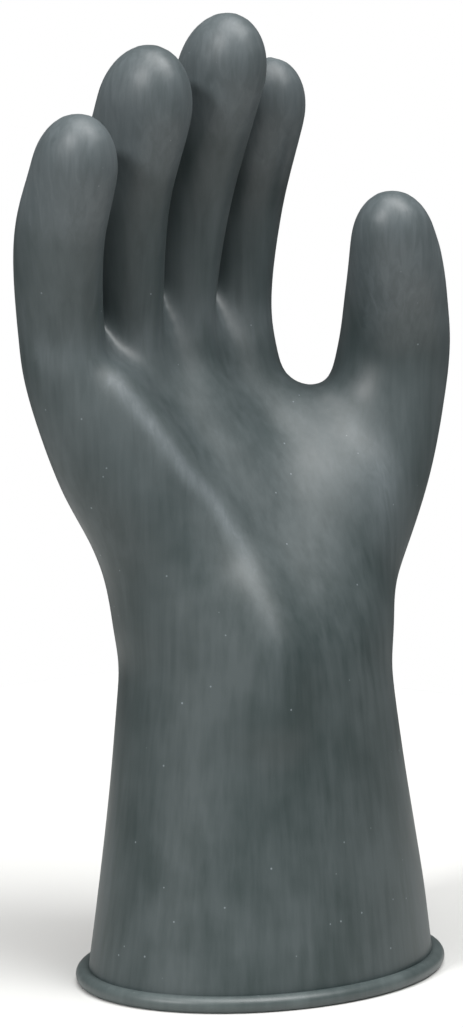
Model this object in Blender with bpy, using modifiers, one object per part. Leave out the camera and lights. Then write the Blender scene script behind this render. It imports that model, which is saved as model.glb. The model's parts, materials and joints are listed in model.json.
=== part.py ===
"""Electrical insulating glove for the right hand: a dipped rubber film that ends in a rolled bead.

The glove stands on its bead, fingers up. The palm faces -Y and the thumb is on the +X side.
The film is one closed form with an open cuff. It is divided at the lines where it flexes, and
each flex line has a narrow band of its own that stretches when the joint bends.
"""
import math

import bmesh
import bpy
from mathutils import Matrix, Vector

# ---------------------------------------------------------------- driving dimensions, in metres
WALL = 0.0013                # thickness of the dipped film
GAP = 0.0003                 # clearance between neighbouring pieces of film
CUFF_CENTRE = Vector((0.00145, 0.0, 0.0))   # where the cuff stands, so the glove's middle is at x 0

BEAD_HALF_WIDTH = 0.0589     # centre line of the rolled bead, thumb to little finger
BEAD_HALF_DEPTH = 0.0460     # centre line of the rolled bead, palm to back
BEAD_RADIUS = 0.0024
BEAD_HEIGHT = 0.0021         # height of the centre line: less than the radius, so the foot is flat
FILM_START = 0.0046          # where the film rises out of the bead

FILM_SIDES = 36              # facets round the cuff and palm
BEAD_SIDES = 72              # straight runs in the bead's oval
DIGIT_SIDES = 18             # facets round a finger
DOME_RINGS = 4               # rings in a fingertip's dome
DOME_LENGTH = 1.4            # a fingertip's dome is this much longer than a round one
HOLLOW_START = 3 * WALL      # how far the hollow runs out past the film's open end
FLEX_WAIST = 0.0010          # half the height of a flex band at its hinge line
FLEX_SPARE = math.radians(1.5)   # how much wider a flex band opens than its joint turns
DIGIT_CUT_REACH = 2.5        # how far a digit's cuts run out, in half widths

# The cuff and wrist are oval: height, centre x, centre y, half width, half depth.
CUFF_OVALS = (
    (FILM_START, 0.0000, 0.0000, 0.0575, 0.0446),
    (0.0230, 0.0000, 0.0000, 0.0548, 0.0426),
    (0.0410, -0.0004, 0.0002, 0.0517, 0.0406),
    (0.0590, -0.0008, 0.0006, 0.0486, 0.0388),
    (0.0760, -0.0012, 0.0010, 0.0462, 0.0372),
    (0.0900, -0.0015, 0.0015, 0.0450, 0.0360),
    (0.1010, -0.0015, 0.0020, 0.0450, 0.0345),
)

# The palm is drawn taut round rounded edges, given by x, y and radius at each height: the little
# finger's edge, the thumb's edge (which runs on under the index finger above the thumb) and, at
# the heel, the bulge of the palm and the back of the wrist.
PALM_EDGES = (
    (0.1130, (-0.0282, 0.0082, 0.0188), (0.0280, -0.0018, 0.0200),
     (0.0000, -0.0108, 0.0208), (-0.0020, 0.0140, 0.0208)),
    (0.1240, (-0.0330, 0.0115, 0.0176), (0.0330, -0.0020, 0.0198),
     (0.0020, -0.0070, 0.0195), (-0.0040, 0.0145, 0.0200)),
    (0.1370, (-0.0390, 0.0153, 0.0165), (0.0380, -0.0010, 0.0190),
     (0.0000, -0.0010, 0.0180), (-0.0060, 0.0135, 0.0185)),
    (0.1500, (-0.0452, 0.0200, 0.0153), (0.0410, 0.0010, 0.0180)),
    (0.1600, (-0.0490, 0.0230, 0.0145), (0.0380, 0.0070, 0.0162)),
    (0.1690, (-0.0502, 0.0252, 0.0142), (0.0300, 0.0150, 0.0148)),
    (0.1780, (-0.0515, 0.0268, 0.0140), (0.0220, 0.0215, 0.0138)),
    (0.1870, (-0.0525, 0.0280, 0.0136), (0.0182, 0.0258, 0.0132)),
    (0.1940, (-0.0528, 0.0285, 0.0122), (0.0182, 0.0270, 0.0120)),
)
KNUCKLE_RISE = 0.12          # the palm's top climbs this much per metre towards the index finger

# Each digit's centre line runs from inside the hand to the centre of its tip's dome:
# x, y, z, half the width along its hinge lines, half the depth from pad to back.
DIGIT_LINES = {
    "index": (
        (0.0176, 0.0255, 0.1780, 0.0105, 0.0110),
        (0.0188, 0.0290, 0.1970, 0.0113, 0.0123),
        (0.0212, 0.0266, 0.2260, 0.0111, 0.0124),
        (0.0183, 0.0153, 0.2532, 0.0112, 0.0124),
    ),
    "middle": (
        (-0.0080, 0.0265, 0.1780, 0.0108, 0.0120),
        (-0.0072, 0.0292, 0.1980, 0.0114, 0.0142),
        (-0.0050, 0.0254, 0.2290, 0.0114, 0.0148),
        (-0.0068, 0.0104, 0.2626, 0.0116, 0.0142),
    ),
    "ring": (
        (-0.0300, 0.0275, 0.1760, 0.0106, 0.0125),
        (-0.0304, 0.0292, 0.1950, 0.0113, 0.0148),
        (-0.0325, 0.0254, 0.2260, 0.0114, 0.0156),
        (-0.0345, 0.0150, 0.2510, 0.0121, 0.0153),
    ),
    "little": (
        (-0.0522, 0.0275, 0.1700, 0.0102, 0.0122),
        (-0.0536, 0.0286, 0.1880, 0.0108, 0.0134),
        (-0.0588, 0.0249, 0.2130, 0.0113, 0.0143),
        (-0.0613, 0.0163, 0.2327, 0.0112, 0.0133),
    ),
    "thumb": (
        (0.0280, -0.0010, 0.1120, 0.0190, 0.0190),
        (0.0365, -0.0025, 0.1330, 0.0198, 0.0198),
        (0.0450, -0.0030, 0.1500, 0.0190, 0.0190),
        (0.0510, -0.0045, 0.1680, 0.0178, 0.0178),
        (0.0526, -0.0065, 0.1830, 0.0169, 0.0169),
        (0.0483, -0.0106, 0.1970, 0.0155, 0.0155),
        (0.0434, -0.0144, 0.2065, 0.0142, 0.0142),
        (0.0403, -0.0162, 0.2128, 0.0129, 0.0129),
    ),
}

# How many rings each station gives, and the ring that lies just below the root flex line.
FINGER_RINGS = (2, 1)
THUMB_RINGS = (1, 3)

# Hinge lines: each digit flexes at its root and half way along, the hand flexes at the wrist.
# Height of the hinge, then how far it bends back and forward, in degrees. The thumb and the
# index finger stop just short of each other when both are fully closed.
ROOT_FLEX = {
    "index": (0.2070, 10, 45),
    "middle": (0.2080, 10, 45),
    "ring": (0.2050, 10, 45),
    "little": (0.1990, 10, 45),
    "thumb": (0.1780, 10, 30),
}
MID_FLEX = {
    "index": (0.2330, 5, 50),
    "middle": (0.2380, 5, 50),
    "ring": (0.2325, 5, 50),
    "little": (0.2240, 5, 50),
    "thumb": (0.2010, 5, 45),
}
FINGER_HINGE = Vector((1.0, 0.0, 0.0))
THUMB_HINGE = Vector((0.7, -0.7, 0.0)).normalized()
WRIST = Vector((-0.0015, 0.0020, 0.1010))
WRIST_FLEX = 30              # degrees, both ways
WRIST_REACH = 0.075          # how far the wrist cuts run out from the hinge, past the whole hand

LABEL_WIDTH = 0.046
LABEL_HEIGHT = 0.020
LABEL_FOOT = 0.022           # height of the label's lower edge
LABEL_THICKNESS = 0.0004
LABEL_COLUMNS = 10
LABEL_ROWS = 2

RUBBER_ROUGHNESS = 0.50
LABEL_ROUGHNESS = 0.55
RUBBER_COLOUR = (0.070, 0.088, 0.092, 1.0)
BEAD_COLOUR = (0.095, 0.110, 0.120, 1.0)
LABEL_COLOUR = (0.480, 0.035, 0.030, 1.0)


# ---------------------------------------------------------------- small helpers
def material(name, colour, roughness):
    """A plain Principled material."""
    made = bpy.data.materials.new(name)
    made.use_nodes = True
    shader = made.node_tree.nodes["Principled BSDF"]
    shader.inputs["Base Color"].default_value = colour
    shader.inputs["Roughness"].default_value = roughness
    shader.inputs["Metallic"].default_value = 0.0
    return made


def new_object(name, mesh, home):
    """Put a mesh into the scene as an object of a collection."""
    made = bpy.data.objects.new(name, mesh)
    home.objects.link(made)
    return made


def mesh_from(name, bm):
    """Close a bmesh's book-keeping and hand back its mesh."""
    bmesh.ops.recalc_face_normals(bm, faces=bm.faces)
    mesh = bpy.data.meshes.new(name)
    bm.to_mesh(mesh)
    bm.free()
    return mesh


def loft(name, rings, pole=None):
    """A closed skin through rings of points, flat at its start, ending flat or in a pole."""
    bm = bmesh.new()
    rows = [[bm.verts.new(point) for point in ring] for ring in rings]
    count = len(rows[0])
    for low, high in zip(rows, rows[1:]):
        for i in range(count):
            j = (i + 1) % count
            bm.faces.new((low[i], low[j], high[j], high[i]))
    bm.faces.new(rows[0][::-1])
    if pole is None:
        bm.faces.new(rows[-1])
    else:
        tip = bm.verts.new(pole)
        for i in range(count):
            bm.faces.new((rows[-1][i], rows[-1][(i + 1) % count], tip))
    return mesh_from(name, bm)


def prism(name, outline, place, half_length, home):
    """Extrude an outline in the local YZ plane along local X; a guide for cutting."""
    bm = bmesh.new()
    near = [bm.verts.new((-half_length, y, z)) for y, z in outline]
    far = [bm.verts.new((half_length, y, z)) for y, z in outline]
    bm.faces.new(near[::-1])
    bm.faces.new(far)
    for i in range(len(outline)):
        j = (i + 1) % len(outline)
        bm.faces.new((near[i], near[j], far[j], far[i]))
    made = new_object(name, mesh_from(name, bm), home)
    made.matrix_world = place
    made.display_type = "WIRE"
    made.hide_render = True
    return made


def boolean(target, operation, cutter):
    """Add an exact Boolean to an object."""
    step = target.modifiers.new(operation.lower() + "_" + cutter.name, "BOOLEAN")
    step.operation = operation
    step.solver = "EXACT"
    step.object = cutter


# ---------------------------------------------------------------- sections of the hand
def oval_point(oval, facing, inset):
    """The point of an oval that faces a direction, drawn in by an inset."""
    height, x, y, half_width, half_depth = oval
    reach = math.hypot(half_width * facing.x, half_depth * facing.y)
    return Vector((
        x + half_width ** 2 * facing.x / reach - inset * facing.x,
        y + half_depth ** 2 * facing.y / reach - inset * facing.y,
        height,
    ))


def edge_point(edges, facing, inset):
    """The point that faces a direction on the taut outline round a palm's edges."""
    height, *lobes = edges
    x, y, radius = max(lobes, key=lambda e: e[0] * facing.x + e[1] * facing.y + e[2])
    return Vector((x + (radius - inset) * facing.x, y + (radius - inset) * facing.y, height))


def hand_rings(inset, start_drop, top_drop):
    """Rings of the cuff, wrist and palm, drawn in by an inset."""
    facings = [
        Vector((math.cos(turn), math.sin(turn), 0.0))
        for turn in (2 * math.pi * (i + 0.5) / FILM_SIDES for i in range(FILM_SIDES))
    ]
    rings = [[oval_point(oval, facing, inset) for facing in facings] for oval in CUFF_OVALS]
    rings += [[edge_point(edges, facing, inset) for facing in facings] for edges in PALM_EDGES]
    middle = PALM_EDGES[-1][1][0] * 0.5 + PALM_EDGES[-1][2][0] * 0.5
    for point in rings[0]:
        point.z -= start_drop
    for point in rings[-1]:
        point.z += KNUCKLE_RISE * (point.x - middle) - top_drop
    return [[point + CUFF_CENTRE for point in ring] for ring in rings]


# ---------------------------------------------------------------- sections of a digit
def on_line(line, at):
    """Smooth interpolation through a digit's stations; at counts stations."""
    index = min(int(at), len(line) - 2)
    part = at - index
    stations = [line[max(0, min(len(line) - 1, index + k))] for k in (-1, 0, 1, 2)]
    return [
        0.5 * (2 * b + (c - a) * part + (2 * a - 5 * b + 4 * c - d) * part ** 2
               + (3 * b - a - 3 * c + d) * part ** 3)
        for a, b, c, d in zip(*stations)
    ]


def station(line, at, hinge):
    """Centre, half width, half depth and the three axes of a digit's section."""
    x, y, z, half_width, half_depth = on_line(line, at)
    step = 0.02
    ahead = Vector(on_line(line, min(at + step, len(line) - 1.0))[:3])
    behind = Vector(on_line(line, max(at - step, 0.0))[:3])
    along = (ahead - behind).normalized()
    across = (hinge - hinge.dot(along) * along).normalized()
    centre = Vector((x, y, z)) + CUFF_CENTRE
    return centre, half_width, half_depth, across, along.cross(across), along


def station_at_height(line, height, hinge):
    """The section of a digit at a height."""
    low, high = 0.0, len(line) - 1.0
    for _ in range(40):
        middle = 0.5 * (low + high)
        if on_line(line, middle)[2] < height:
            low = middle
        else:
            high = middle
    return station(line, low, hinge)


def digit_mesh(name, inset, whole=True):
    """A digit's closed form, to its dome, drawn in by an inset.

    The whole form starts inside the hand. Otherwise it starts just below the root flex line.
    """
    line = DIGIT_LINES[name]
    hinge = THUMB_HINGE if name == "thumb" else FINGER_HINGE
    per_station, below_root = THUMB_RINGS if name == "thumb" else FINGER_RINGS
    first = 0 if whole else below_root
    last = (len(line) - 1) * per_station
    turns = [2 * math.pi * (i + 0.5) / DIGIT_SIDES for i in range(DIGIT_SIDES)]
    rings = []
    for stop in range(first, last + 1):
        centre, wide, deep, across, back, along = station(line, stop / per_station, hinge)
        wide -= inset
        deep -= inset
        if stop == first:
            centre -= 2.0 * inset * along
        rings.append([
            centre + across * wide * math.cos(t) + back * deep * math.sin(t) for t in turns
        ])
    dome = DOME_LENGTH * 0.5 * (wide + deep)
    for k in range(1, DOME_RINGS):
        rise = 0.5 * math.pi * k / DOME_RINGS
        heart = centre + along * dome * math.sin(rise)
        rings.append([
            heart + (across * wide * math.cos(t) + back * deep * math.sin(t)) * math.cos(rise)
            for t in turns
        ])
    return loft(name, rings, pole=centre + along * dome)


# ---------------------------------------------------------------- flex lines
class Flex:
    """A flex line: a hinge across the film, with room to close on the front and back."""

    def __init__(self, centre, across, along, back_degrees, front_degrees, reach):
        back = along.cross(across)
        self.place = Matrix.Translation(centre) @ Matrix((across, back, along)).transposed().to_4x4()
        self.reach = reach
        self.front = FLEX_WAIST + reach * math.tan(math.radians(front_degrees / 2) + FLEX_SPARE)
        self.back = FLEX_WAIST + reach * math.tan(math.radians(back_degrees / 2) + FLEX_SPARE)

    def block(self, name, side, home):
        """The flex band's space and all that lies above it (side 1) or below it (side -1)."""
        far = 4.0 * self.reach
        outline = [
            (-self.reach, -side * self.front), (0.0, -side * FLEX_WAIST),
            (self.reach, -side * self.back), (self.reach, side * far), (-self.reach, side * far),
        ]
        return prism(name, outline, self.place, self.reach, home)

    def band(self, name, home):
        """The space of the flex band itself, clear of both neighbours."""
        ends = [
            (-self.reach, self.front - GAP), (0.0, FLEX_WAIST - GAP), (self.reach, self.back - GAP),
        ]
        outline = ends + [(y, -z) for y, z in reversed(ends)]
        return prism(name, outline, self.place, self.reach, home)


def digit_flexes(name):
    """The root and middle flex lines of a digit."""
    hinge = THUMB_HINGE if name == "thumb" else FINGER_HINGE
    made = []
    for table in (ROOT_FLEX, MID_FLEX):
        height, back_degrees, front_degrees = table[name]
        centre, wide, deep, across, _, along = station_at_height(DIGIT_LINES[name], height, hinge)
        reach = DIGIT_CUT_REACH * max(wide, deep)
        made.append(Flex(centre, across, along, back_degrees, front_degrees, reach))
    return made


# ---------------------------------------------------------------- pieces
def guide(name, mesh, cutters):
    """A form that only cuts or joins other pieces."""
    made = new_object(name, mesh, cutters)
    made.hide_render = True
    made.display_type = "WIRE"
    return made


def film_piece(name, mesh, hollow, cuts, paint, homes):
    """A piece of film: a closed form, less what is hollow, less or within its cutters."""
    parts, cutters = homes
    made = new_object(name, mesh, parts)
    boolean(made, "DIFFERENCE", guide(name + "_hollow", hollow, cutters))
    for operation, cutter in cuts:
        boolean(made, operation, cutter)
    made.data.materials.append(paint)
    return made


def move_origin(piece, point):
    """Put a piece's origin on its joint's axis without moving its shape."""
    piece.data.transform(Matrix.Translation(-point))
    piece.location = point


def make_digit(name, paint, homes):
    """Base, tip and the two flex bands of one digit."""
    cutters = homes[1]
    root, mid = digit_flexes(name)
    root_up = root.block(name + "_root_up", 1, cutters)
    root_down = root.block(name + "_root_down", -1, cutters)
    mid_up = mid.block(name + "_mid_up", 1, cutters)
    mid_down = mid.block(name + "_mid_down", -1, cutters)
    root_zone = root.band(name + "_root_zone", cutters)
    mid_zone = mid.band(name + "_mid_zone", cutters)
    pieces = (
        ("_base", root, [("DIFFERENCE", root_down), ("DIFFERENCE", mid_up)]),
        ("_tip", mid, [("DIFFERENCE", mid_down)]),
        ("_root_band", root, [("INTERSECT", root_zone)]),
        ("_mid_band", mid, [("INTERSECT", mid_zone)]),
    )
    for ending, flex, cuts in pieces:
        skin = digit_mesh(name, 0.0, False)
        hollow = digit_mesh(name, WALL, False)
        made = film_piece(name + ending, skin, hollow, cuts, paint, homes)
        move_origin(made, flex.place.translation)
    return root_up


def hand_mesh(name, inset=0.0):
    """The closed form of the cuff, wrist and palm, or with an inset, its hollow."""
    if inset:
        return loft(name, hand_rings(inset, HOLLOW_START, inset))
    return loft(name, hand_rings(0.0, 0.0, 0.0))


def make_hand(paint, homes, root_blocks):
    """Cuff film, wrist band and palm, cut from one form."""
    cutters = homes[1]
    across = Vector((1, 0, 0))
    along = Vector((0, 0, 1))
    wrist = Flex(WRIST + CUFF_CENTRE, across, along, WRIST_FLEX, WRIST_FLEX, WRIST_REACH)
    wrist_up = wrist.block("wrist_up", 1, cutters)
    wrist_down = wrist.block("wrist_down", -1, cutters)
    wrist_zone = wrist.band("wrist_zone", cutters)
    for name, operation, cutter in (
        ("cuff_film", "DIFFERENCE", wrist_up),
        ("wrist_band", "INTERSECT", wrist_zone),
    ):
        made = film_piece(name, hand_mesh(name), hand_mesh(name, WALL), [(operation, cutter)],
                          paint, homes)
        if name == "wrist_band":
            move_origin(made, wrist.place.translation)
    make_palm(paint, homes, root_blocks, wrist_down, wrist.place.translation)


def make_palm(paint, homes, root_blocks, wrist_down, hinge_point):
    """The palm, with the stump of every digit up to its root flex line."""
    parts, cutters = homes
    palm = new_object("palm_shell", hand_mesh("palm_shell"), parts)
    hollows = [guide("palm_hollow", hand_mesh("palm_hollow", WALL), cutters)]
    for name, root_up in root_blocks.items():
        stump = guide(name + "_stump", digit_mesh(name, 0.0), cutters)
        boolean(stump, "DIFFERENCE", root_up)
        boolean(palm, "UNION", stump)
        hollows.append(guide(name + "_stump_hollow", digit_mesh(name, WALL), cutters))
    for hollow in hollows:
        boolean(palm, "DIFFERENCE", hollow)
    boolean(palm, "DIFFERENCE", wrist_down)
    palm.data.materials.append(paint)
    move_origin(palm, hinge_point)


def make_bead(paint, homes):
    """The rolled bead: a round cord of rubber round the cuff, with a flat worn foot."""
    parts, cutters = homes
    curve = bpy.data.curves.new("bead_line", "CURVE")
    curve.dimensions = "3D"
    curve.bevel_depth = BEAD_RADIUS
    curve.bevel_resolution = 2
    line = curve.splines.new("POLY")
    line.points.add(BEAD_SIDES - 1)
    for i, point in enumerate(line.points):
        turn = 2 * math.pi * i / BEAD_SIDES
        spot = Vector((BEAD_HALF_WIDTH * math.cos(turn), BEAD_HALF_DEPTH * math.sin(turn), BEAD_HEIGHT))
        point.co = (*(spot + CUFF_CENTRE), 1.0)
    line.use_cyclic_u = True
    cord = new_object("bead_line", curve, cutters)
    bpy.context.view_layer.update()
    evaluated = cord.evaluated_get(bpy.context.evaluated_depsgraph_get())
    bead = new_object("cuff_bead", bpy.data.meshes.new_from_object(evaluated), parts)
    bpy.data.objects.remove(cord)
    far = 2 * BEAD_HALF_WIDTH
    ground = prism("ground", [(-far, 0.0), (far, 0.0), (far, -far), (-far, -far)],
                   Matrix.Identity(4), far, cutters)
    boolean(bead, "DIFFERENCE", ground)
    bead.data.materials.clear()
    bead.data.materials.append(paint)


def make_label(paint, homes):
    """The blank coloured marking patch on the back of the cuff, a sheet that follows the film."""
    low = CUFF_OVALS[0]
    high = CUFF_OVALS[2]
    bm = bmesh.new()
    grid = []
    for row in range(LABEL_ROWS + 1):
        height = LABEL_FOOT + LABEL_HEIGHT * row / LABEL_ROWS
        part = (height - low[0]) / (high[0] - low[0])
        oval = [a + (b - a) * part for a, b in zip(low, high)]
        grid.append([])
        for column in range(LABEL_COLUMNS + 1):
            lean = LABEL_WIDTH * (column / LABEL_COLUMNS - 0.5) / oval[3]
            facing = Vector((math.sin(lean) * oval[4], math.cos(lean) * oval[3], 0)).normalized()
            point = oval_point(oval, facing, -2 * GAP)
            point.z = height
            grid[-1].append(bm.verts.new(point + CUFF_CENTRE))
    for row in range(LABEL_ROWS):
        for column in range(LABEL_COLUMNS):
            bm.faces.new((grid[row][column + 1], grid[row][column], grid[row + 1][column],
                          grid[row + 1][column + 1]))
    mesh = bpy.data.meshes.new("class_label")
    bm.to_mesh(mesh)
    bm.free()
    label = new_object("class_label", mesh, homes[0])
    thicken = label.modifiers.new("thickness", "SOLIDIFY")
    thicken.thickness = LABEL_THICKNESS
    thicken.offset = 1.0
    label.data.materials.append(paint)


def main():
    """Build the glove."""
    for old in list(bpy.data.objects):
        bpy.data.objects.remove(old)
    parts = bpy.data.collections.new("insulating_glove")
    cutters = bpy.data.collections.new("cutters")
    for home in (parts, cutters):
        bpy.context.scene.collection.children.link(home)
    homes = (parts, cutters)
    rubber = material("black_natural_rubber", RUBBER_COLOUR, RUBBER_ROUGHNESS)
    rolled = material("rolled_rubber_bead", BEAD_COLOUR, RUBBER_ROUGHNESS)
    red = material("red_marking_patch", LABEL_COLOUR, LABEL_ROUGHNESS)
    make_bead(rolled, homes)
    make_label(red, homes)
    root_blocks = {name: make_digit(name, rubber, homes) for name in DIGIT_LINES}
    make_hand(rubber, homes, root_blocks)


main()
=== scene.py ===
# %% [markdown]
# # An electrical insulating glove
#
# A lineman's rubber glove is dipped: a porcelain hand is lowered into liquid latex again and again
# until a film a little over a millimetre thick has built up. So there are no seams, panels or
# stitches to model. There is one flowing skin, a bead rolled at its edge, and a coloured marking
# patch. Everything below is about making that one skin flow, and about the look of its rubber.
#
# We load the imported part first. It says where every piece sits and how it moves, and it never
# changes here. Lengths are in millimetres until a mesh is made, because a glove is easiest to
# think about in millimetres.

# %% Load the frame
import json
import math

import bmesh
import bpy
import numpy as np
from mathutils import Matrix, Vector


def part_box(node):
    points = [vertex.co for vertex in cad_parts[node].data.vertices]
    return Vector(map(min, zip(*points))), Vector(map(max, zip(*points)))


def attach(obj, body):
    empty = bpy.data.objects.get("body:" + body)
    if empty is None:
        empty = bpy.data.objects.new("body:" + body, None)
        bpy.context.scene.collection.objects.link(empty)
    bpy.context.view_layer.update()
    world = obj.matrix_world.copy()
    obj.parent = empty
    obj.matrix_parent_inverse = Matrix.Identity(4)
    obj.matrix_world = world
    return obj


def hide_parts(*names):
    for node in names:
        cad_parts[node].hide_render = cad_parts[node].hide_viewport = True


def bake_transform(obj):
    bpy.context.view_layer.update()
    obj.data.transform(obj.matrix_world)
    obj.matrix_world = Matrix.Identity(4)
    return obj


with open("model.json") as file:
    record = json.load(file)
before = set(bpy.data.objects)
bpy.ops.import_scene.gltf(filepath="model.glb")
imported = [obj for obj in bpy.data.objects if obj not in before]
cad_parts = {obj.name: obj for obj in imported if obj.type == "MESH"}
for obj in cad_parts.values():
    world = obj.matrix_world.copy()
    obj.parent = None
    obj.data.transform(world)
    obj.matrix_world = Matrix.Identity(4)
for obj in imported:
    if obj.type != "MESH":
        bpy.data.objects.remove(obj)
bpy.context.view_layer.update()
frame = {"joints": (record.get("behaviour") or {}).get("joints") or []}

MM = 0.001
bead_low, bead_high = (np.array(corner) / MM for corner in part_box("cuff_bead"))
CUFF_CENTRE = (bead_low + bead_high) / 2
joint_at = {joint["name"]: np.array(joint["pos_m"]) / MM for joint in frame["joints"]}
print("the cuff's centre is", CUFF_CENTRE.round(2), "mm")

# %% [markdown]
# ## The hand former, as lines
#
# The shape comes from the porcelain hand inside, so that is what we describe: a line down the
# middle of each digit, with a half width and a half depth at a few stations. The lines run on
# below the fingers, where the bones of the palm lie, because on a dipped glove each finger shows
# as a soft ridge that fades out across the palm. Five more lines fill the heel and its ridge, the
# ball of the thumb, the back, and the web beside the thumb.
#
# Stations are x, y, z, half width, half depth, measured from the middle of the cuff. The palm
# faces -y and the thumb is at +x.

# %% The lines of the digits and the palm
DIGITS = {
    "index": [
        (9, 4, 114, 18, 18), (13, 11, 135, 16.5, 16.5), (16.6, 18.5, 156, 15.8, 14),
        (18, 25.5, 176, 12.8, 12.6), (18.8, 29, 197, 11.2, 12.4),
        (21.2, 26.6, 226, 11.1, 12.4), (18.3, 15.3, 253.2, 11.2, 12.4),
    ],
    "middle": [
        (-2, 6, 114, 18, 18), (-5, 13, 135, 16.5, 16.5), (-7, 20, 156, 13.5, 14),
        (-8, 26.5, 178, 11.4, 13.2), (-7.2, 29.2, 198, 11.1, 14.2),
        (-5, 25.4, 229, 11.4, 14.8), (-6.8, 10.4, 262.8, 11.6, 14.2),
    ],
    "ring": [
        (-14, 8, 114, 18, 18), (-20, 14, 135, 16, 16.5), (-26.5, 21, 156, 13.5, 14),
        (-30, 27.5, 178, 11.4, 13.4), (-30.4, 29.2, 195, 11.0, 14.8),
        (-32.5, 25.4, 226, 11.4, 15.6), (-34.5, 15.0, 251.0, 12.1, 15.3),
    ],
    "little": [
        (-26.5, 8.5, 113, 17.5, 18), (-34.8, 14, 133, 16, 16.5), (-44, 20, 150, 15, 15.2),
        (-51.6, 26.5, 172, 12.4, 13.6), (-54.2, 28.6, 188, 11.2, 13.6),
        (-58.8, 24.9, 213, 11.3, 14.3), (-61.3, 16.3, 232.7, 11.2, 13.3),
    ],
    "thumb": [
        (27, -1, 112, 19, 19), (36.5, -2.5, 133, 19.8, 19.8), (45.2, -3, 150, 19.2, 19.2),
        (51, -4.5, 168, 17.8, 17.8), (52.6, -6.5, 183, 16.9, 16.9),
        (48.3, -10.6, 197, 15.5, 15.5), (43.4, -14.4, 206.5, 14.2, 14.2),
        (40.3, -16.2, 212.8, 12.9, 12.9),
    ],
}
FLESH = {
    "crest": [(-47, 17, 172, 4, 4), (-38, 8.3, 156, 6.5, 6.5), (-33.5, 4.7, 148, 6.5, 6.5),
              (-25, -0.4, 136.6, 6.5, 6.5), (-20.5, -8.1, 122, 6.5, 6.5), (-22, -14.2, 112, 7, 7),
              (-22.5, -21, 97, 7, 7), (-25, -22.5, 79, 6, 6)],
    "hypothenar": [(-44, 20, 165, 12, 12), (-37, 15, 150, 13, 13), (-31, 9, 132, 13.5, 13.5),
                   (-22, 0, 112, 15, 15)],
    "thenar": [(28, 9, 157, 10, 10), (23, -0.5, 141, 15.5, 15.5), (19, -5, 124, 18, 18),
               (13, -8, 107, 19, 19)],
    "back_of_hand": [(-2, 14, 112, 20, 20), (-6, 15, 135, 17.5, 17.5), (-12, 21, 155, 14, 14)],
    "thumb_web": [(15, 20, 156, 12, 12), (30, 10, 154, 10.2, 10.2), (44, 0, 156, 12, 12)],
}
# The cuff and wrist are an oval cone: height, centre x, centre y, half width, half depth. It dies
# away inside the palm.
CUFF = [
    (-2, 0, 0, 58.6, 45.4), (4.6, 0, 0, 57.5, 44.6), (23, 0, 0, 54.8, 42.6),
    (41, -0.4, 0.2, 51.7, 40.6), (59, -0.8, 0.6, 48.6, 38.8), (76, -1.2, 1, 46.2, 37.2),
    (90, -1.2, 1.5, 44.4, 36), (101, -1, 2.2, 43.2, 34.2), (112, -0.5, 4, 41, 30.2),
    (124, 0, 7, 36.5, 23), (138, 0, 10, 30, 15), (150, 0, 12, 24, 9),
]
# Where the film of two fingers parts: x, height, and how wide its fillet is there.
CROTCHES = np.array([
    (-60, 190.5, 4.4), (-42, 190.5, 4.4), (-19, 199, 4.6), (6, 199.5, 8.0), (40, 199.5, 8.0),
])
# The lines that the digits bend about.
FINGER_HINGE = np.array([1.0, 0.0, 0.0])
THUMB_HINGE = np.array([0.7, -0.7, 0.0]) / math.hypot(0.7, 0.7)
print(len(DIGITS), "digits and", len(FLESH), "pads of flesh")

# %% [markdown]
# ## A field of distances
#
# Tubes joined with a Boolean would meet in hard creases, and a cage would need its loops planned
# by hand. A dipped film has neither. So we write the former as a field: a function that gives,
# for any point, roughly how far it is outside the surface. Two shapes melt together when their
# fields meet in a soft minimum, and one number, the reach, says how wide the fillet is. Between
# the fingers the reach is about a millimetre, so they stay apart. It grows at the crotches, where
# the webs are, and on down the palm, so the ridges fade.

# %% Smooth lines and a soft minimum
def smooth_line(stations, steps):
    """More stations along a line, on a Catmull-Rom curve through the given ones."""
    line = np.array(stations, float)
    padded = np.vstack([2 * line[0] - line[1], line, 2 * line[-1] - line[-2]])
    points = []
    for a, b, c, d in zip(padded, padded[1:], padded[2:], padded[3:]):
        for part in np.arange(steps) / steps:
            points.append(0.5 * (2 * b + (c - a) * part + (2 * a - 5 * b + 4 * c - d) * part ** 2
                                 + (3 * b - a - 3 * c + d) * part ** 3))
    return np.vstack([points, line[-1:]])


def soft_min(a, b, reach):
    """The smaller of two fields, with a fillet where they come within reach of each other."""
    overlap = np.maximum(reach - np.abs(a - b), 0.0) / reach
    return np.minimum(a, b) - overlap * overlap * reach * 0.25


def smooth_step(low, high, values):
    """0 below low, 1 above high, and an even S between them."""
    part = np.clip((values - low) / (high - low), 0.0, 1.0)
    return part * part * (3 - 2 * part)


# %% The field of one line
FAR = 40.0
FINGERTIP = 1.4      # a fingertip's dome is this much longer than it is wide


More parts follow.
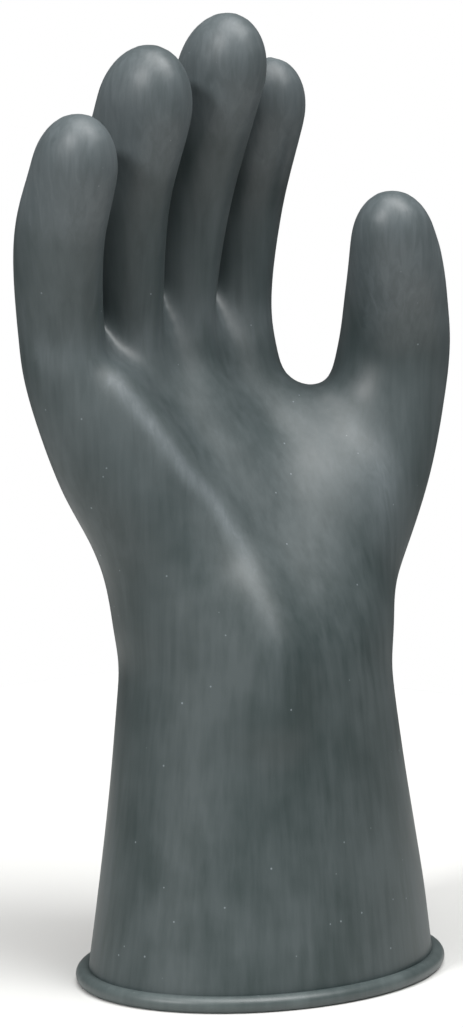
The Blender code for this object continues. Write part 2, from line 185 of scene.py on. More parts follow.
def tube_field(points, line, hinge, tip=1.0):
    """Distance outside a tube of oval section, for points near it; tip draws out its end."""
    field = np.full(len(points), FAR)
    low = line[:, :3].min(0) - line[:, 3:].max() - 20
    high = line[:, :3].max(0) + line[:, 3:].max() + 20
    near = np.flatnonzero(((points > low) & (points < high)).all(1))
    inside_box = points[near]
    best = np.full(len(near), FAR)
    for start, end in zip(line, line[1:]):
        along = end[:3] - start[:3]
        length = np.linalg.norm(along)
        along = along / length
        across = hinge - hinge @ along * along
        across = across / np.linalg.norm(across)
        back = np.cross(along, across)
        offset = inside_box - start[:3]
        part = np.clip(offset @ along / length, 0.0, 1.0)
        offset = offset - (part * length)[:, None] * along
        wide = start[3] + (end[3] - start[3]) * part
        deep = start[4] + (end[4] - start[4]) * part
        u, v, w = offset @ across, offset @ back, offset @ along
        round_end = (wide + deep) * 0.5 * np.where(w > 0, tip, 1.0)
        size = np.sqrt((u / wide) ** 2 + (v / deep) ** 2 + (w / round_end) ** 2) + 1e-6
        slope = np.sqrt((u / wide ** 2) ** 2 + (v / deep ** 2) ** 2 + (w / round_end ** 2) ** 2) + 1e-6
        best = np.minimum(best, (size - 1) * size / slope)
    field[near] = best
    return field


def cuff_field(points):
    """Distance outside the oval cone of the cuff, rounded off above the wrist."""
    table = smooth_line(CUFF, 4)
    x, y, wide, deep = (np.interp(points[:, 2], table[:, 0], table[:, k]) for k in (1, 2, 3, 4))
    u, v = points[:, 0] - x, points[:, 1] - y
    size = np.sqrt((u / wide) ** 2 + (v / deep) ** 2) + 1e-6
    slope = np.sqrt((u / wide ** 2) ** 2 + (v / deep ** 2) ** 2) + 1e-6
    wall = (size - 1) * size / slope
    return -soft_min(-wall, CUFF[-1][0] - points[:, 2], 10.0)


# %% The whole hand
FINGER_REACH = 1.2
FLESH_REACH = {"hypothenar": 8.0, "crest": 7.0, "back_of_hand": 14.0, "thenar": 14.0}
WEB_REACH = 10.0
PALM_REACH = 12.0
digit_lines = {name: smooth_line(stations, 6) for name, stations in DIGITS.items()}
flesh_lines = {name: smooth_line(stations, 8) for name, stations in FLESH.items()}


def hinge_of(name):
    """The direction of a digit's hinge lines."""
    return THUMB_HINGE if name == "thumb" else FINGER_HINGE


def reach_between_fingers(points):
    """How wide the fillet between two fingers is: narrow above the crotches, wide in the palm."""
    crotch, web = (np.interp(points[:, 0], CROTCHES[:, 0], CROTCHES[:, k]) for k in (1, 2))
    below = crotch - points[:, 2]
    reach = FINGER_REACH + (web - FINGER_REACH) * smooth_step(-6, 1, below)
    return reach + 8.0 * smooth_step(-3, 18, below) + 0.12 * np.clip(below, 0.0, 60.0)


def hand_field(points):
    """Distance outside the whole former, for points given from the middle of the cuff."""
    between = reach_between_fingers(points)
    hand = tube_field(points, digit_lines["little"], FINGER_HINGE, FINGERTIP)
    for name in ("ring", "middle", "index"):
        finger = tube_field(points, digit_lines[name], FINGER_HINGE, FINGERTIP)
        hand = soft_min(hand, finger, between)
    for name, reach in FLESH_REACH.items():
        hand = soft_min(hand, tube_field(points, flesh_lines[name], FINGER_HINGE), reach)
    thumb = tube_field(points, digit_lines["thumb"], THUMB_HINGE, FINGERTIP)
    thumb = soft_min(thumb, tube_field(points, flesh_lines["thumb_web"], FINGER_HINGE), WEB_REACH)
    hand = soft_min(hand, thumb, PALM_REACH)
    return soft_min(hand, cuff_field(points), PALM_REACH)


middle_of_palm = np.array([[-8.0, 10.0, 140.0]])
print("the middle of the palm is", round(float(-hand_field(middle_of_palm)[0]), 1), "mm inside")


# %% [markdown]
# ## From field to film
#
# The field becomes a mesh by a surface net: sample it on a grid, put one vertex in each cell that
# the surface passes through, and join the four cells round every grid edge that it crosses. That
# gives even quads everywhere. The vertices are then slid along the field's slope until they lie
# on the surface exactly, and evened out, so the grid leaves no trace. The slope also gives the
# shading normals, and those stay the same when the skin is cut into pieces, so no cut shows.

# %% Sample the field and net its surface
GRID_STEP = 1.5
GRID_LOW = np.array([-78.0, -52.0, -4.0])
GRID_HIGH = np.array([76.0, 52.0, 284.0])


def sample(field, low, high, step):
    """The field's values on a grid of points."""
    axes = [np.arange(a, b, step) for a, b in zip(low, high)]
    corner = np.stack(np.meshgrid(*axes, indexing="ij"), -1)
    return field(corner.reshape(-1, 3)).reshape(corner.shape[:3])


def surface_net(values, low, step):
    """Vertices and quads of the surface where a sampled field crosses zero."""
    cells = np.array(values.shape)
    total = np.zeros((values.size, 3))
    count = np.zeros(values.size)
    strides = np.array([cells[1] * cells[2], cells[2], 1])
    quads = []
    for axis in range(3):
        first = [slice(None)] * 3
        second = [slice(None)] * 3
        first[axis], second[axis] = slice(None, -1), slice(1, None)
        a, b = values[tuple(first)], values[tuple(second)]
        where = np.argwhere((a < 0) != (b < 0))
        side, other = [k for k in range(3) if k != axis]
        where = where[(where[:, side] > 0) & (where[:, other] > 0)]
        at = tuple(where.T)
        point = where.astype(float)
        point[:, axis] += a[at] / (a[at] - b[at])
        ring = []
        for back_side, back_other in ((0, 0), (1, 0), (1, 1), (0, 1)):
            cell = where.copy()
            cell[:, side] -= back_side
            cell[:, other] -= back_other
            key = cell @ strides
            np.add.at(total, key, point)
            np.add.at(count, key, 1)
            ring.append(key)
        ring = np.stack(ring, 1)
        flip = (a[at] < 0) == (axis == 1)
        ring[flip] = ring[flip][:, ::-1]
        quads.append(ring)
    quads = np.vstack(quads)
    used, quads = np.unique(quads, return_inverse=True)
    return low + step * total[used] / count[used, None], quads.reshape(-1, 4)


vertices, quads = surface_net(sample(hand_field, GRID_LOW, GRID_HIGH, GRID_STEP), GRID_LOW, GRID_STEP)
print("the net has", len(vertices), "vertices and", len(quads), "quads")

# %% Slide the vertices onto the surface and even them out
SLOPE_STEP = 0.25
SLIDES = 4
EVENINGS = 8


def slope(points):
    """The field's gradient."""
    steps = np.eye(3) * SLOPE_STEP
    return np.stack([
        (hand_field(points + s) - hand_field(points - s)) / (2 * SLOPE_STEP) for s in steps
    ], 1)


def onto_surface(points):
    """Points moved along the slope to where the field is zero."""
    gradient = slope(points)
    steep = (gradient ** 2).sum(1, keepdims=True) + 1e-9
    return points - hand_field(points)[:, None] * gradient / steep


def evened(points, faces):
    """Points drawn half way to the average of their neighbours."""
    edges = np.vstack([faces[:, [k, (k + 1) % 4]] for k in range(4)])
    total = np.zeros_like(points)
    count = np.zeros(len(points))
    for a, b in (edges.T, edges.T[::-1]):
        np.add.at(total, a, points[b])
        np.add.at(count, a, 1)
    return 0.5 * points + 0.5 * total / np.maximum(count, 1)[:, None]


for _ in range(SLIDES):
    vertices = onto_surface(evened(vertices, quads))
print("furthest off the surface:", round(float(np.abs(hand_field(vertices)).max()), 3), "mm")

# The field has faint steps where its lines bend. A few rounds of evening melt them away, as the
# latex itself does when it drains.
for _ in range(EVENINGS):
    vertices = evened(vertices, quads)


# %% Trim the film level inside the bead
FILM_FOOT = 2.0      # the film ends this far above the floor, inside the bead
centre_height = vertices[quads, 2].mean(1)
quads = quads[centre_height > FILM_FOOT]
edges = np.sort(np.vstack([quads[:, [k, (k + 1) % 4]] for k in range(4)]), 1)
unique_edges, uses = np.unique(edges, axis=0, return_counts=True)
foot = np.unique(unique_edges[uses == 1])
vertices[foot, 2] = FILM_FOOT
for _ in range(2):
    gradient = slope(vertices[foot])
    gradient[:, 2] = 0.0
    steep = (gradient ** 2).sum(1, keepdims=True)
    vertices[foot] -= hand_field(vertices[foot])[:, None] * gradient / steep


def face_vectors(points, faces):
    """Each face's normal, as long as twice its area."""
    return np.cross(points[faces[:, 2]] - points[faces[:, 0]], points[faces[:, 3]] - points[faces[:, 1]])


normals = np.zeros_like(vertices)
for corner in range(4):
    np.add.at(normals, quads[:, corner], face_vectors(vertices, quads))
normals /= np.maximum(np.linalg.norm(normals, axis=1, keepdims=True), 1e-9)
print("the film's foot has", len(foot), "vertices")

# %% [markdown]
# ## Where hands have rubbed it, and where highlights are painted
#
# Rubber that has lain in store grows a pale bloom of wax, and hands wipe it into the places they
# hold, such as the ball of the thumb. The same pale colour is also painted on as light: a painted
# highlight mixed with bloom on the side of the ridge along the palm's heel that faces the light,
# and painted highlights on the fingertips and just below the webs. The hand is also a shade paler
# from the wrist up. Wear could be painted by hand. Here each place is a line or a point that we
# already know, so we work out a number per vertex from the distance to it. The skin carries that
# number as an attribute, and the rubber's material reads it.

# %% Find where hands rub the film and where highlights are painted
BALL_OF_THUMB = np.array([30, -20, 140])
# the heel's ridge gets its painted highlight on the side that faces this way
RIDGE_HIGHLIGHT_FACING = np.array([-0.50, -0.80, 0.33])


def nearness(distance, reach):
    """1 at a place, fading to 0 at a reach from it."""
    return np.clip(1 - distance / reach, 0.0, 1.0) ** 2


def ridge_highlight_and_bloom():
    """Painted highlight with bloom: 1 on the top of the heel's ridge where it faces one way,
    fading to its sides and down towards the wrist.
    """
    closest = np.full(len(vertices), FAR)
    for spot in smooth_line(flesh_lines["crest"][:, :3], 3):
        away = vertices - spot
        sideways = away - (away @ RIDGE_HIGHLIGHT_FACING)[:, None] * RIDGE_HIGHLIGHT_FACING
        closest = np.minimum(closest, np.linalg.norm(sideways, axis=1))
    height = vertices[:, 2]
    ridge_mask = np.exp(-(closest / 2.6) ** 2) * smooth_step(66, 115, height)
    return ridge_mask * (0.25 + 0.75 * smooth_step(115, 138, height)) * (normals @ RIDGE_HIGHLIGHT_FACING > 0.3)


thenar = nearness(np.linalg.norm((vertices - BALL_OF_THUMB) / [1.2, 1.0, 2.2], axis=1), 16.0)
# a painted highlight on each fingertip
tip_highlight = np.zeros(len(vertices))
for line in digit_lines.values():
    away = np.linalg.norm(vertices - line[-1, :3], axis=1)
    tip_highlight = np.maximum(tip_highlight, 1 - smooth_step(14, 24, away))
# a painted highlight on the palm side just below each crotch
crotch_height = np.interp(vertices[:, 0], CROTCHES[:, 0], CROTCHES[:, 1])
web_highlight = np.exp(-((vertices[:, 2] - crotch_height + 8) / 6) ** 2) * (normals[:, 1] < 0)
# the whole hand a shade paler from the wrist up
above_wrist = smooth_step(85, 165, vertices[:, 2])
# bloom on the ball of the thumb, painted highlights on the ridge, tips and webs, and the paler hand
bloom_and_highlight = 0.55 * ridge_highlight_and_bloom() + 0.5 * thenar + 0.4 * tip_highlight + 0.2 * web_highlight + 0.16 * above_wrist
bloom_and_highlight = np.clip(bloom_and_highlight, 0.0, 1.0)
print("rubbed over", round(float((bloom_and_highlight > 0.3).mean() * 100)), "% of the skin")

# %% [markdown]
# ## Cutting the film where it flexes
#
# The hand, each finger's lower half and each fingertip are separate pieces that share their
# border vertices exactly. A border lies where the film doesn't bend, so both sides of it move
# alike and it never opens. Each piece has an outer skin, an inner skin one film thickness in, and
# rims that close it.

# %% Decide which piece each face belongs to
ROOT_BORDER = {"index": 201.5, "middle": 202.0, "ring": 200.5, "little": 192.5, "thumb": 171.5}
MID_BORDER = {"index": 220.0, "middle": 222.5, "ring": 219.5, "little": 211.5, "thumb": 190.5}


def place_on_line(name, height):
    """The centre of a digit at a height, and the direction the digit runs in there."""
    line = digit_lines[name]
    centre = np.array([np.interp(height, line[:, 2], line[:, k]) for k in range(3)])
    row = int(np.clip(np.searchsorted(line[:, 2], height), 2, len(line) - 2))
    along = line[row + 1, :3] - line[row - 2, :3]
    return centre, along / np.linalg.norm(along)


face_centres = vertices[quads].mean(1)
nearest = np.argmin([
    tube_field(face_centres, digit_lines[name], hinge_of(name)) for name in DIGITS
], 0)
piece_of_face = np.full(len(quads), "cuff_and_palm", dtype=object)
for number, name in enumerate(DIGITS):
    for part, heights in (("lower", ROOT_BORDER), ("upper", MID_BORDER)):
        centre, along = place_on_line(name, heights[name])
        beyond = (face_centres - centre) @ along > 0
        piece_of_face[(nearest == number) & beyond & (face_centres[:, 2] > 160)] = f"{name}_{part}"
for name in sorted(set(piece_of_face)):
    print(name, (piece_of_face == name).sum(), "faces")

# %% Make each piece a closed film with an inner and an outer skin
WALL = 1.3           # the film's thickness
glove = bpy.data.collections.new("insulating_glove_looks")
bpy.context.scene.collection.children.link(glove)


def film_piece(name, faces):
    """A piece of film as a closed mesh, shaded with the whole skin's normals."""
    used, faces = np.unique(faces, return_inverse=True)
    faces = faces.reshape(-1, 4)
    outer, facing = vertices[used], normals[used]
    inner = outer - WALL * facing
    count = len(used)
    pairs = np.vstack([faces[:, [k, (k + 1) % 4]] for k in range(4)])
    keys = pairs[:, 0] * count + pairs[:, 1]
    twins = pairs[:, 1] * count + pairs[:, 0]
    border = pairs[~np.isin(keys, twins)]
    rims = np.stack([border[:, 1], border[:, 0], border[:, 0] + count, border[:, 1] + count], 1)
    all_faces = np.vstack([faces, faces[:, ::-1] + count, rims])
    mesh = bpy.data.meshes.new(name)
    points = (np.vstack([outer, inner]) + [CUFF_CENTRE[0], CUFF_CENTRE[1], 0.0]) * MM
    mesh.from_pydata(points.tolist(), [], all_faces.tolist())
    mesh.update()
    mesh.shade_smooth()
    rim_normals = np.array([mesh.polygons[i].normal for i in range(2 * len(faces), len(all_faces))])
    loop_normals = np.vstack([
        facing[faces.ravel()], -facing[faces[:, ::-1].ravel()], np.repeat(rim_normals, 4, 0),
    ])
    mesh.normals_split_custom_set(loop_normals.tolist())
    # the bloom and the painted highlights go with each piece as an attribute
    bloom_and_highlight_marks = mesh.attributes.new("bloom_and_highlight", "FLOAT", "POINT")
    bloom_and_highlight_marks.data.foreach_set("value", np.tile(bloom_and_highlight[used], 2).astype(np.float32))
    made = bpy.data.objects.new(name, mesh)
    glove.objects.link(made)
    return made


skins = {
    name: film_piece(name + "_skin", quads[piece_of_face == name])
    for name in sorted(set(piece_of_face))
}
print("made", len(skins), "pieces of film")

# %% [markdown]
# ## The rolled bead
#
# After the last dip, the soft edge of the film is rolled down on itself into a cord. It stiffens
# the cuff and gives the hand something to pull on. A bevelled curve would make it too, but a cord
# that follows an oval is a rule, and a rule suits Geometry Nodes: a circle stretched to the cuff's
# oval, and a round profile swept along it. Whatever would sink below the table is pressed flat, as
# the rubber's own weight does.

# %% Sweep the bead with Geometry Nodes
def add_node(tree, kind, sockets=None, links=(), **settings):
    """Add a node, set its properties and input values, and link named sockets into it."""
    made = tree.nodes.new(kind)
    for key, value in settings.items():
        setattr(made, key, value)
    for key, value in (sockets or {}).items():
        made.inputs[key].default_value = value
    for source, output, key in links:
        tree.links.new(source.outputs[output], made.inputs[key])
    return made


def bead_tree():
    """A node group that sweeps a round cord along an oval and presses its foot flat."""
    tree = bpy.data.node_groups.new("rolled_bead", "GeometryNodeTree")
    for name, kind in (("Half Width", "NodeSocketFloat"), ("Half Depth", "NodeSocketFloat"),
                       ("Cord Radius", "NodeSocketFloat"), ("Height", "NodeSocketFloat"),
                       ("Material", "NodeSocketMaterial")):
        tree.interface.new_socket(name, in_out="INPUT", socket_type=kind)
    tree.interface.new_socket("Geometry", in_out="OUTPUT", socket_type="NodeSocketGeometry")
    given = add_node(tree, "NodeGroupInput")
    oval_scale = add_node(tree, "ShaderNodeCombineXYZ", {"Z": 1.0},
                          [(given, "Half Width", "X"), (given, "Half Depth", "Y")])
    raised = add_node(tree, "ShaderNodeCombineXYZ", {}, [(given, "Height", "Z")])
    circle = add_node(tree, "GeometryNodeCurvePrimitiveCircle", {"Resolution": 240, "Radius": 1.0})
    oval = add_node(tree, "GeometryNodeTransform", {}, [
        (circle, "Curve", "Geometry"), (oval_scale, "Vector", "Scale"),
        (raised, "Vector", "Translation")])
    profile = add_node(tree, "GeometryNodeCurvePrimitiveCircle", {"Resolution": 24},
                       [(given, "Cord Radius", "Radius")])
    swept = add_node(tree, "GeometryNodeCurveToMesh", {}, [
        (oval, "Geometry", "Curve"), (profile, "Curve", "Profile Curve")])
    where = add_node(tree, "GeometryNodeInputPosition")
    split = add_node(tree, "ShaderNodeSeparateXYZ", {}, [(where, "Position", "Vector")])
    lifted = add_node(tree, "ShaderNodeMath", {1: 0.0}, [(split, "Z", 0)], operation="MAXIMUM")
    joined = add_node(tree, "ShaderNodeCombineXYZ", {}, [
        (split, "X", "X"), (split, "Y", "Y"), (lifted, "Value", "Z")])
    pressed = add_node(tree, "GeometryNodeSetPosition", {}, [
        (swept, "Mesh", "Geometry"), (joined, "Vector", "Position")])
    real = add_node(tree, "GeometryNodeRealizeInstances", {}, [(pressed, "Geometry", "Geometry")])
    painted = add_node(tree, "GeometryNodeSetMaterial", {}, [
        (real, "Geometry", "Geometry"), (given, "Material", "Material")])
    add_node(tree, "NodeGroupOutput", {}, [(painted, "Geometry", "Geometry")])
    return tree


def grown_by_nodes(name, tree, values):
    """Run a node group on an empty mesh and keep the result as a plain mesh object."""
    seed = bpy.data.objects.new(name + "_seed", bpy.data.meshes.new(name + "_seed"))
    bpy.context.scene.collection.objects.link(seed)
    step = seed.modifiers.new("grow", "NODES")
    step.node_group = tree
    for item in tree.interface.items_tree:
        if item.in_out == "INPUT":
            step[item.identifier] = values[item.name]
    bpy.context.view_layer.update()
    evaluated = seed.evaluated_get(bpy.context.evaluated_depsgraph_get())
    mesh = bpy.data.meshes.new_from_object(evaluated)
    seed.modifiers.remove(step)
    bpy.data.objects.remove(seed)
    made = bpy.data.objects.new(name, mesh)
    glove.objects.link(made)
    return made


# %% [markdown]
# ## Black natural rubber
#
# The film is natural rubber latex with carbon black, dip-moulded and cured. What the eye reads is
# a dark slate grey that isn't quite even, a satin surface that spreads highlights wide, faint
# vertical runs where the latex drained off the former, and a pale bloom where hands have held it.
# That pale colour also carries painted highlights on the heel's ridge, the fingertips and the webs.
# An image could hold all that, but it would need unwrapping. Noise on Object coordinates needs
# none, and its scale follows from a size in millimetres. Rubber has an IOR near 1.52 and no
# metallic part.

# %% Colours and pattern sizes
def linear(code):
    """An sRGB hex colour as linear RGBA."""
    channels = [int(code[k:k + 2], 16) / 255 for k in (1, 3, 5)]
    return [c / 12.92 if c <= 0.04045 else ((c + 0.055) / 1.055) ** 2.4 for c in channels] + [1.0]


def scale_for(size):
    """The texture scale that makes a pattern's patches this many millimetres across."""
    return 1 / (size * MM)


CLOUD_SIZE = 25.0
STREAK_WIDTH, STREAK_LENGTH = 3.03, 90.9
SMEAR_WIDTH, SMEAR_LENGTH = 2.38, 16.67
SPECK_SPACING = 3.846
GRAIN_SIZE = 0.5556     # the real grain is finer still, and wouldn't show
print("streaks have the scale", round(scale_for(STREAK_WIDTH)), "across and",
      round(scale_for(STREAK_LENGTH)), "along")


# %% The patterns of the rubber
def long_noise(tree, place, width, length, **sockets):
    """Noise in upright streaks of a width and a length in millimetres."""
    across = scale_for(width)
    stretched = add_node(tree, "ShaderNodeMapping", {"Scale": (across, across, scale_for(length))},
                         [(place, "Object", "Vector")])
    return add_node(tree, "ShaderNodeTexNoise", {"Scale": 1.0, "Roughness": 0.6, **sockets},
                    [(stretched, "Vector", "Vector")])


def bloom_and_highlight_mask(tree, place):
    """Wax bloom and painted highlights in smears along the hand, where the attribute marks them."""
    bloom_and_highlight_marks = add_node(tree, "ShaderNodeAttribute", {}, attribute_name="bloom_and_highlight")
    smears = long_noise(tree, place, SMEAR_WIDTH, SMEAR_LENGTH, Detail=4.0, Distortion=0.8)
    smear = add_node(tree, "ShaderNodeMapRange", {
        "From Min": 0.40, "From Max": 0.75, "To Min": 0.6, "To Max": 1.0}, [(smears, "Fac", "Value")])
    return add_node(tree, "ShaderNodeMath", {}, [(bloom_and_highlight_marks, "Fac", 0), (smear, "Result", 1)],
                    operation="MULTIPLY")


def lint_mask(tree, place):
    """Specks of lint and dust: a dot in about one cell of every five."""
    dots = add_node(tree, "ShaderNodeTexVoronoi", {"Scale": scale_for(SPECK_SPACING), "Randomness": 1.0},
                    [(place, "Object", "Vector")])
    speck = add_node(tree, "ShaderNodeMapRange", {
        "From Min": 0.05, "From Max": 0.09, "To Min": 0.9, "To Max": 0.0},
        [(dots, "Distance", "Value")])
    picked = add_node(tree, "ShaderNodeSeparateColor", {}, [(dots, "Color", "Color")])
    chosen = add_node(tree, "ShaderNodeMath", {1: 0.82}, [(picked, "Red", 0)], operation="GREATER_THAN")
    return add_node(tree, "ShaderNodeMath", {}, [(speck, "Result", 0), (chosen, "Value", 1)],
                    operation="MULTIPLY")


# %% Mix the rubbers
def rubber(name, dark, light, bloom_and_highlight_colour, roughness):
    """Cured natural rubber: uneven colour, drained streaks, bloom and specks on a satin skin.
    The bloom's pale colour also carries painted highlights.
    """
    made = bpy.data.materials.new(name)
    made.use_nodes = True
    tree = made.node_tree
    tree.nodes.clear()
    place = add_node(tree, "ShaderNodeTexCoord")
    clouds = add_node(tree, "ShaderNodeTexNoise", {
        "Scale": scale_for(CLOUD_SIZE), "Detail": 3.0, "Roughness": 0.55}, [(place, "Object", "Vector")])
    streaks = long_noise(tree, place, STREAK_WIDTH, STREAK_LENGTH, Detail=3.0)
    mixed = add_node(tree, "ShaderNodeMix", {0: 0.42}, [
        (clouds, "Fac", 2), (streaks, "Fac", 3)], data_type="FLOAT")
    colour = add_node(tree, "ShaderNodeValToRGB", {}, [(mixed, 0, "Fac")])
    for element, place_on_ramp, code in zip(colour.color_ramp.elements, (0.38, 0.62), (dark, light)):
        element.position = place_on_ramp
        element.color = linear(code)
    # the pale colour is laid on as bloom, painted highlights and specks of lint
    dust_bloom_and_highlight = add_node(tree, "ShaderNodeMath", {}, [
        (bloom_and_highlight_mask(tree, place), "Value", 0), (lint_mask(tree, place), "Value", 1)],
        operation="MAXIMUM")
    lightened = add_node(tree, "ShaderNodeMix", {7: linear(bloom_and_highlight_colour)}, [
        (dust_bloom_and_highlight, "Value", 0), (colour, "Color", 6)], data_type="RGBA")
    grain = add_node(tree, "ShaderNodeTexNoise", {"Scale": scale_for(GRAIN_SIZE), "Detail": 2.0},
                     [(place, "Object", "Vector")])
    bump = add_node(tree, "ShaderNodeBump", {"Strength": 0.25, "Distance": 0.06 * MM},
                    [(grain, "Fac", "Height")])
    gloss = add_node(tree, "ShaderNodeMapRange", {
        "From Min": 0.3, "From Max": 0.7, "To Min": roughness - 0.04, "To Max": roughness + 0.06},
        [(clouds, "Fac", "Value")])
    shader = add_node(tree, "ShaderNodeBsdfPrincipled", {"IOR": 1.52, "Metallic": 0.0}, [
        (lightened, 2, "Base Color"), (gloss, "Result", "Roughness"), (bump, "Normal", "Normal")])
    add_node(tree, "ShaderNodeOutputMaterial", {}, [(shader, "BSDF", "Surface")])
    return made


# the film is satin; the bead, rolled while soft, is a shade lighter; the patch is matte
# the third colour of each is the pale one for bloom, painted highlights and specks
film_rubber = rubber("dipped_natural_rubber", "#2C3737", "#40494A", "#757D81", 0.46)
bead_rubber = rubber("rolled_natural_rubber", "#3B4444", "#4B5454", "#6E7476", 0.42)
patch_rubber = rubber("red_rubber_patch", "#7E1512", "#96201B", "#A86058", 0.55)
for skin in skins.values():
    skin.data.materials.append(film_rubber)
print("mixed", film_rubber.name, bead_rubber.name, "and", patch_rubber.name)

# %% Make the bead
CORD_RADIUS = 2.4
half_width, half_depth = ((bead_high - bead_low) / 2)[:2] - CORD_RADIUS
bead = grown_by_nodes("rolled_bead", bead_tree(), {
    "Half Width": float(half_width * MM), "Half Depth": float(half_depth * MM),
    "Cord Radius": CORD_RADIUS * MM, "Height": float((bead_high[2] - CORD_RADIUS) * MM),
    "Material": bead_rubber,
})
bead.data.transform(Matrix.Translation((CUFF_CENTRE[0] * MM, CUFF_CENTRE[1] * MM, 0)))
bead.data.shade_smooth()
print("the bead's cord is", 2 * CORD_RADIUS, "mm thick")

# %% [markdown]
# ## The marking patch
#
# A small patch of coloured rubber is cured onto the back of the cuff. Its colour tells the
# voltage class, and the words that it carries are left off here. It has to hug the cuff's curve.
# Shrinkwrap could do that, but we hold the surface as a field, so we lay a flat grid with round
# corners over it, slide its points onto the surface, and let Solidify give it its thickness.

# %% Make the patch
PATCH_THICKNESS = 0.4
PATCH_COLUMNS, PATCH_ROWS = 36, 16
patch_low, patch_high = (np.array(corner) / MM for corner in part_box("class_label"))
PATCH_CORNER = 3.0


def patch_mesh():
    """A sheet with round corners that lies on the back of the cuff."""
    half = np.array([(patch_high[0] - patch_low[0]) / 2, (patch_high[2] - patch_low[2]) / 2])
    middle = np.array([patch_low[0] + half[0] - CUFF_CENTRE[0], patch_low[2] + half[1]])
    u, v = np.meshgrid(np.linspace(-1, 1, PATCH_COLUMNS + 1), np.linspace(-1, 1, PATCH_ROWS + 1))
    flat = np.stack([u.ravel() * half[0], v.ravel() * half[1]], 1)
    over = np.abs(flat) - (half - PATCH_CORNER)
    corner = (over > 0).all(1)
    reach = over[corner] / PATCH_CORNER
    squeeze = reach.max(1) / np.maximum(np.hypot(*reach.T), 1e-9)
    flat[corner] = np.sign(flat[corner]) * (half - PATCH_CORNER + over[corner] * squeeze[:, None])
    behind = np.full(len(flat), 42.0)
    points = np.stack([flat[:, 0] + middle[0], behind, flat[:, 1] + middle[1]], 1)
    for _ in range(4):
        points[:, 1] -= hand_field(points)
    points += slope(points) * 0.05
    points = (points + [CUFF_CENTRE[0], CUFF_CENTRE[1], 0]) * MM
    bm = bmesh.new()
    corners = [bm.verts.new(point) for point in points]
    wide = PATCH_COLUMNS + 1
    for row in range(PATCH_ROWS):
        for column in range(PATCH_COLUMNS):
            k = row * wide + column
            bm.faces.new([corners[i] for i in (k + 1, k, k + wide, k + wide + 1)])
    mesh = bpy.data.meshes.new("marking_patch")
    bm.to_mesh(mesh)
    bm.free()
    return mesh


patch = bpy.data.objects.new("marking_patch", patch_mesh())
glove.objects.link(patch)
patch.data.materials.append(patch_rubber)
patch.data.shade_smooth()
thicken = patch.modifiers.new("thickness", "SOLIDIFY")
thicken.thickness = PATCH_THICKNESS * MM
thicken.offset = 1.0
print("the patch measures", (patch_high - patch_low).round(1)[[0, 2]], "mm")

# %% [markdown]
# ## Hanging the pieces on the frame
#
# The part bends at the wrist and at two places in each digit. An armature could do it, but the
# frame already knows the bodies. A fold needs length: over too short a stretch the inner side would
# turn through itself. So for each digit's pieces we work out the room between their borders, and
# bake every skin in place; the bead and the patch hang on the cuff.

# %% Place the skins, and hang the bead and the patch on the cuff
BORDER_GAP = 0.6        # a bend stays this far from a border
UPPER_REACH = {"index": 9.0, "middle": 9.0, "ring": 9.0, "little": 9.0, "thumb": 11.0}


def lifted(point):
    """A point from the cuff's middle, in the frame's metres."""
    return tuple((np.array(point) + [CUFF_CENTRE[0], CUFF_CENTRE[1], 0.0]) * MM)


def border(name, neighbour):
    """The points that two pieces of film share."""
    return vertices[np.intersect1d(quads[piece_of_face == name], quads[piece_of_face == neighbour])]


def flex(name, line, heights, below, above=None):
    """The stretch of a piece between two heights on its digit, clear of its borders with its
    neighbours; the piece is baked in place and the stretch's length is printed.
    """
    start, end = (place_on_line(line, height)[0] for height in heights)
    along = (end - start) / np.linalg.norm(end - start)
    low, high = start @ along, end @ along
    low = max(low, (border(name, below) @ along).max() + BORDER_GAP)
    if above:
        high = min(high, (border(name, above) @ along).min() - BORDER_GAP)
    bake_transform(skins[name])
    print(name, "bends over", round(float(high - low), 1), "mm")


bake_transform(skins["cuff_and_palm"])
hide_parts("cuff_film", "wrist_band", "palm_shell")
for name in DIGITS:
    mid = joint_at[name + "_mid_flex"][2]
    lower, upper = f"{name}_lower", f"{name}_upper"
    heights = ROOT_BORDER[name], MID_BORDER[name], mid + UPPER_REACH[name]
    flex(lower, name, heights[:2], "cuff_and_palm", upper)
    flex(upper, name, heights[1:], lower)
    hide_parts(f"{name}_root_band", f"{name}_base")
    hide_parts(f"{name}_mid_band", f"{name}_tip")
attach(bead, "cuff")
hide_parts("cuff_bead")
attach(patch, "cuff")
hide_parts("class_label")

# %% [markdown]
# ## Floor, light and camera
#
# Dark satin rubber shows its form through its highlights and shadows, so the light matters as much
# as the shape. One small lamp low on the left lets each finger throw a shadow on the next. A
# broader one on the right models the palm. A wide ceiling light draws the soft shine on the
# fingertips. The floor is small, since a large white one would light the glove from below and
# wash those shadows out.

# %% Lay the floor
bpy.ops.mesh.primitive_plane_add(size=1.0, location=(0, 0, 0))
floor = bpy.context.object
floor.name = "pale_floor"
paper = bpy.data.materials.new("pale_paper")
paper.use_nodes = True
paper_shader = paper.node_tree.nodes["Principled BSDF"]
paper_shader.inputs["Base Color"].default_value = linear("#C9C9C7")
paper_shader.inputs["Roughness"].default_value = 0.9
floor.data.materials.append(paper)
print("the floor is", round(floor.dimensions.x, 2), "m wide")

# %% Set the lights
VIEW_TURN = math.radians(48)
ahead = Vector((math.sin(VIEW_TURN), math.cos(VIEW_TURN), 0))
right = Vector((math.cos(VIEW_TURN), -math.sin(VIEW_TURN), 0))
up = Vector((0, 0, 1))
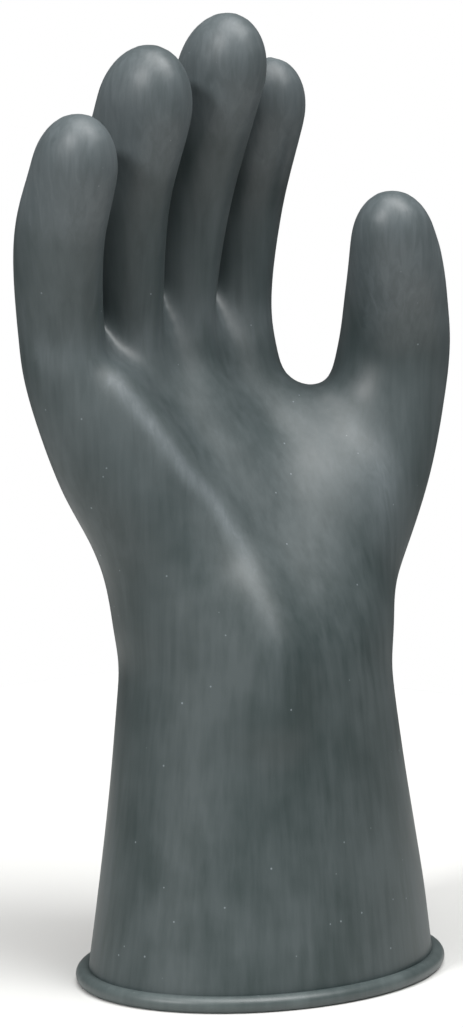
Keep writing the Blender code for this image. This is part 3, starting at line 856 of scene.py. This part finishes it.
# Each light: degrees to the right of the camera, degrees up, strength, width of its disc in degrees.
LIGHTS = {
    "left_lamp": (-40, 34, 1.8, 9),
    "right_softbox": (56, 56, 1.8, 30),
    "ceiling": (10, 76, 3.1, 50),
}
for name, (turn, climb, strength, width) in LIGHTS.items():
    light = bpy.data.lights.new(name, "SUN")
    light.energy = strength
    light.angle = math.radians(width)
    made = bpy.data.objects.new(name, light)
    bpy.context.scene.collection.objects.link(made)
    side = math.radians(turn)
    rise = math.radians(climb)
    away = (-ahead * math.cos(side) + right * math.sin(side)) * math.cos(rise) + up * math.sin(rise)
    made.rotation_mode = "QUATERNION"
    made.rotation_quaternion = (-away).to_track_quat("-Z", "Y")
    made.location = away
    print(name, "shines from", turn, "degrees to the right and", climb, "up")

# The room looks white, but lights the glove only a little, so that its edges stay dark.
world = bpy.data.worlds.new("white_room")
world.use_nodes = True
sky = world.node_tree
sky.nodes.clear()
seen = add_node(sky, "ShaderNodeLightPath")
white = add_node(sky, "ShaderNodeBackground", {"Color": (1, 1, 1, 1), "Strength": 1.0})
dim = add_node(sky, "ShaderNodeBackground", {"Color": (1, 1, 1, 1), "Strength": 0.1})
either = add_node(sky, "ShaderNodeMixShader", {}, [
    (seen, "Is Camera Ray", 0), (dim, "Background", 1), (white, "Background", 2)])
add_node(sky, "ShaderNodeOutputWorld", {}, [(either, "Shader", "Surface")])
bpy.context.scene.world = world
bpy.context.scene.view_settings.view_transform = "Standard"

# %% Place the camera
CAMERA_DISTANCE = 0.85
CAMERA_HEIGHT = 0.200
AIM_HEIGHT = 0.1348
SIDESTEP = 0.00924
LENS = 102.07
camera_data = bpy.data.cameras.new("camera")
camera_data.lens = LENS
camera = bpy.data.objects.new("camera", camera_data)
bpy.context.scene.collection.objects.link(camera)
stand = Vector((CUFF_CENTRE[0] * MM, 0, 0)) - right * SIDESTEP
camera.location = stand - ahead * CAMERA_DISTANCE + up * CAMERA_HEIGHT
camera.rotation_mode = "QUATERNION"
camera.rotation_quaternion = (stand + up * AIM_HEIGHT - camera.location).to_track_quat("-Z", "Y")
bpy.context.scene.camera = camera
print("the camera stands at", [round(value, 3) for value in camera.location])
